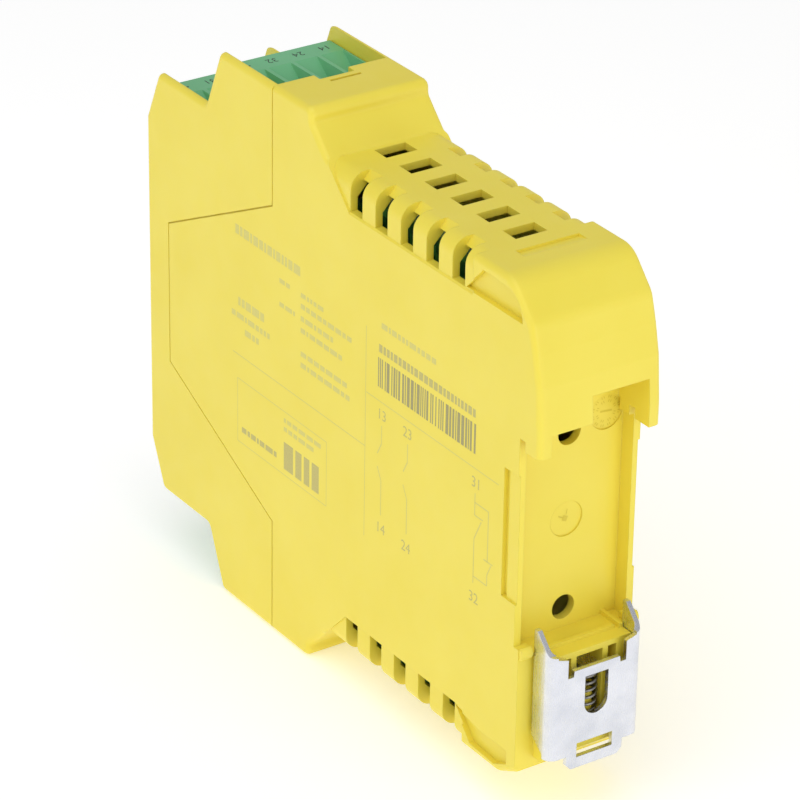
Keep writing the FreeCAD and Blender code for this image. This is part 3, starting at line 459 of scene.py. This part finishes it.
for points in BREAK_CONTACT:
    lines += strokes(points)
lines += strokes(FRAME_CORNERS, FRAME_WIDTH)
flat_piece("print_diagram", lines, PALE_INK)
print("diagram strokes", len(lines))

# %% [markdown]
# ## Bolder blocks
# A few rows are printed bolder: two in the framed field and the row of figures above the bar field.
# They are bars again, in the darker ink.

# %% Blocks
blocks = word_bars(rng, 41.4, -17.2, 10.4, 5.0, 1.6, 3.0, 0.7)
blocks += word_bars(rng, 28.6, -16.2, 10.6, 1.0)
blocks += word_bars(rng, 68.6, 16.0, 26.0, 1.4, 0.5, 1.1, 0.3)
flat_piece("print_blocks", blocks, INK)
print("blocks", len(blocks))

# %% [markdown]
# ## Terminal numbers beside the diagram
# Plain figures tell which terminal each contact ends on. Blender's own font gives them as a curve,
# which is turned to a flat mesh first and put in its place afterwards, so that the object itself
# stays at the origin.

# %% Numbers on the side
FIGURE_SIZE_MM = 2.6
FIGURES = (("13", 69.6, 5.2), ("23", 76.7, 5.2), ("31", 95.2, 5.0), ("14", 69.6, -15.0), ("24", 76.7, -15.0),
           ("32", 95.2, -15.0))


def printed_text(name, text, size_mm, matrix, finish, body="housing"):
    """Flat mesh of plain figures, placed by matrix."""
    curve = bpy.data.curves.new(name, "FONT")
    curve.body = text
    curve.size = size_mm * MM
    curve.align_x = "CENTER"
    curve.align_y = "CENTER"
    curve.resolution_u = 3
    source = bpy.data.objects.new(name + "_curve", curve)
    scene.collection.objects.link(source)
    bpy.context.view_layer.update()
    mesh = bpy.data.meshes.new_from_object(source.evaluated_get(bpy.context.evaluated_depsgraph_get()))
    bpy.data.objects.remove(source)
    mesh.name = name
    mesh.transform(matrix)
    mesh.materials.clear()
    mesh.materials.append(finish)
    made = bpy.data.objects.new(name, mesh)
    scene.collection.objects.link(made)
    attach(made, body)
    return made


def facing(right, up, place):
    """Matrix that lays text with the given reading direction and up direction at a place."""
    r = Vector(right)
    u = Vector(up)
    out = r.cross(u)
    turn = Matrix((r, u, out)).transposed().to_4x4()
    return Matrix.Translation(place) @ turn


for text, y, z in FIGURES:
    place = facing((0, 1, 0), (0, 0, 1), side_point(y, z))
    printed_text("print_number_" + text, text, FIGURE_SIZE_MM, place, INK)
print("numbers placed", len(FIGURES))

# %% [markdown]
# ## Terminal numbers on the plugs
# Each plug has one number above each of its four poles, in dark green-black print that is read from
# the front. They ride on their plug, so that they leave with it when it is pulled.

# %% Numbers on the plugs
LABEL_INK = ink_material("black_green_print", "24382B", "2C4233")
LABEL_SIZE_MM = 2.1
POLE_XS = (-7.5, -2.5, 2.5, 7.5)
# Each plug: how far behind the front plane its numbers stand, and the numbers.
PLUG_ROWS = {"plug_top_rear": (25.2, ("14", "24", "32", "42")),
             "plug_top_front": (6.0, ("13", "23", "31", "41")),
             "plug_bottom_rear": (25.2, ("15", "25", "35", "45")),
             "plug_bottom_front": (6.0, ("16", "26", "36", "46"))}
for plug, (depth, numbers) in PLUG_ROWS.items():
    is_top = plug.startswith("plug_top")
    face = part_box(plug)[1][2] + INK_LIFT if is_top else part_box(plug)[0][2] - INK_LIFT
    reading = (1, 0, 0) if is_top else (-1, 0, 0)
    for x, text in zip(POLE_XS, numbers):
        place = facing(reading, (0, 1, 0), Vector((x * MM, (depth - SEAT_DEPTH) * MM, face)))
        printed_text(plug + "_number_" + text, text, LABEL_SIZE_MM, place, LABEL_INK, plug)
print("plug numbers placed", len(PLUG_ROWS) * len(POLE_XS))

# %% [markdown]
# ## Date clock and gate mark
# Moulders leave two round inserts in the wall of the rail recess. One is a date clock, with rings of
# small raised figures round a slotted middle, and the other is where the plastic came in. Both discs
# are CAD. Their fine figures are only a few hundredths high, so thin flats just above the disc show
# them, turned in a loop round the middle. The flats are a darker copy of the moulded yellow. That
# darkness is painted shade: it stands in for the shade that the tiny relief would catch.

# %% Raised marks in the recess
RECESS_DEPTH = 105.15           # from the front plane to the recess wall
DISC_SUNK = 0.25
DISC_FACE = RECESS_DEPTH - DISC_SUNK
CLOCK = (-6.9, 15.9)            # middle of the date clock
CLOCK_RINGS = ((2.45, 12), (1.7, 8))        # radius and count of each ring of figures
CLOCK_FIGURE = (0.42, 0.14)     # length and width of each stroke of a figure
FIGURE_HALF_PITCH = 0.2         # a figure is two strokes, this far to each side
CLOCK_SLOT = (2.2, 0.3, 0.1)    # length, width and turn
GATE_FLATS = ((0.1, -0.6, 0.9, 0.9, 0.4), (0.9, -0.2, 1.1, 0.2, 0.5), (-0.2, 0.5, 0.16, 0.9, 0.2))


def wall_quad(x, z, long, wide, angle, lift=0.03):
    """A thin raised flat on the recess wall, turned by angle."""
    c = math.cos(angle)
    s = math.sin(angle)
    depth = (DISC_FACE + lift - SEAT_DEPTH) * MM
    corners = []
    for a, b in ((-1, -1), (-1, 1), (1, 1), (1, -1)):
        u = a * long / 2
        v = b * wide / 2
        corners.append(Vector(((x + u * c - v * s) * MM, depth, (z + u * s + v * c) * MM)))
    return corners


# A darker copy of the moulded yellow: painted shade, so that the flat figures and the gate mark read as
# relief.
RAISED_PAINTED_SHADE = moulded("moulded_yellow_raised_painted_shade", "E4CF3C", "DCC735", 0.5, 0.1)
marks = []
for ring, count in CLOCK_RINGS:
    for i in range(count):
        a = 2 * math.pi * (i + 0.5) / count
        for side in (-FIGURE_HALF_PITCH, FIGURE_HALF_PITCH):
            x = CLOCK[0] + ring * math.cos(a) + side * math.sin(a)
            z = CLOCK[1] + ring * math.sin(a) - side * math.cos(a)
            marks.append(wall_quad(x, z, *CLOCK_FIGURE, a))
marks.append(wall_quad(*CLOCK, *CLOCK_SLOT))
flat_piece("date_clock_figures", marks, RAISED_PAINTED_SHADE)
gate = [wall_quad(*flat) for flat in GATE_FLATS]
flat_piece("gate_mark", gate, RAISED_PAINTED_SHADE)
print("recess marks", len(marks) + len(gate))

# %% [markdown]
# ## Floor and background
# The part stands on a plain pale floor that takes its shadow. A little emission keeps the floor from
# going grey, which more lamps could do too, but they would also bleach the yellow. The world is white
# only where the camera sees it, and lights the part more softly.

# %% Floor and world
FLOOR_GAP = 0.0002
FLOOR_SIZE = 6.0
FLOOR_GLOW = 0.3
WORLD_LIGHT = 0.5
WHITE = (1.0, 1.0, 1.0, 1.0)
low = CAD_BOX[0][2] - FLOOR_GAP
bpy.ops.mesh.primitive_plane_add(size=FLOOR_SIZE, location=(0, 0, low))
floor = bpy.context.object
floor.name = "floor"
made, tree, shader = material("pale_floor")
where = node(tree, "ShaderNodeTexCoord").outputs["Object"]
tint = node(tree, "ShaderNodeTexNoise", values={"Scale": 1 / (400.0 * MM), "Detail": 2.0},
            links={"Vector": where})
paint = node(tree, "ShaderNodeMix", {"data_type": "RGBA"},
             {MIX_FIRST: linear("FAFAFA"), MIX_SECOND: linear("FFFFFF")}, {"Factor": tint.outputs["Fac"]})
tree.links.new(paint.outputs[MIX_RESULT], shader.inputs["Base Color"])
shader.inputs["Roughness"].default_value = 0.9
shader.inputs["Specular IOR Level"].default_value = 0.0
shader.inputs["Emission Color"].default_value = WHITE
shader.inputs["Emission Strength"].default_value = FLOOR_GLOW
floor.data.materials.append(made)

world = bpy.data.worlds.new("studio")
scene.world = world
world.use_nodes = True
tree = world.node_tree
tree.nodes.clear()
path = node(tree, "ShaderNodeLightPath")
seen = node(tree, "ShaderNodeBackground", values={"Color": WHITE, "Strength": 1.0})
lit = node(tree, "ShaderNodeBackground", values={"Color": WHITE, "Strength": WORLD_LIGHT})
either = node(tree, "ShaderNodeMixShader",
              links={"Fac": path.outputs["Is Camera Ray"], 1: lit.outputs[0], 2: seen.outputs[0]})
node(tree, "ShaderNodeOutputWorld", links={"Surface": either.outputs[0]})
print("floor at", round(low, 4))

# %% [markdown]
# ## Lamps
# Three large soft boxes light the part as a product table does: a key from above, a fill on the
# printed side and one on the rear. Small lamps would draw hard shadows in the vents.

# %% Soft boxes
# Each lamp: its name, its place, what it aims at, its two sides in metres and its power in watts.
LAMPS = (("key_above", (0.25, 0.1, 0.7), (0, -0.03, 0), (0.7, 0.7), 1.9),
         ("side_fill", (0.8, 0.0, 0.25), (0, -0.03, 0), (0.6, 0.6), 0.78),
         ("rear_fill", (-0.1, 0.8, 0.2), (0, 0, 0), (0.5, 0.5), 1.5))


def softbox(name, place, aim, size, power):
    """A rectangular area lamp that looks at its aim."""
    light = bpy.data.lights.new(name, "AREA")
    light.shape = "RECTANGLE"
    light.size, light.size_y = size
    light.energy = power
    made = bpy.data.objects.new(name, light)
    made.location = place
    made.rotation_euler = (Vector(aim) - Vector(place)).to_track_quat("-Z", "Y").to_euler()
    scene.collection.objects.link(made)


for lamp in LAMPS:
    softbox(*lamp)
print("lamps", len(LAMPS))

# %% [markdown]
# ## Camera
# A long lens from behind the +X side, a little above, keeps the edges nearly parallel as in a
# catalogue picture. The camera's axes are worked out from its azimuth and elevation, with a slight
# roll, because aiming by a constraint would leave no room for the roll.

# %% Camera
AZIMUTH, ELEVATION, ROLL = (math.radians(v) for v in (34.304, 27.483, 0.944))
EYE = Vector((0.335864, 0.443987, 0.309772))
SENSOR_MM = 36.0
LENS_MM = 188.72325
back = Vector((math.sin(AZIMUTH) * math.cos(ELEVATION), math.cos(AZIMUTH) * math.cos(ELEVATION),
               math.sin(ELEVATION)))
right = (-back).cross(Vector((0, 0, 1))).normalized()
up = right.cross(-back)
tilted_right = right * math.cos(ROLL) + up * math.sin(ROLL)
tilted_up = up * math.cos(ROLL) - right * math.sin(ROLL)
camera_data = bpy.data.cameras.new("camera")
camera_data.sensor_width = SENSOR_MM
camera_data.lens = LENS_MM
camera_data.clip_start = 0.05
camera_data.clip_end = 20.0
camera = bpy.data.objects.new("camera", camera_data)
turn = Matrix((tilted_right, tilted_up, back)).transposed().to_4x4()
camera.matrix_world = Matrix.Translation(EYE) @ turn
scene.collection.objects.link(camera)
scene.camera = camera
scene.view_settings.view_transform = "Standard"
print("camera lens", round(camera_data.lens, 1))
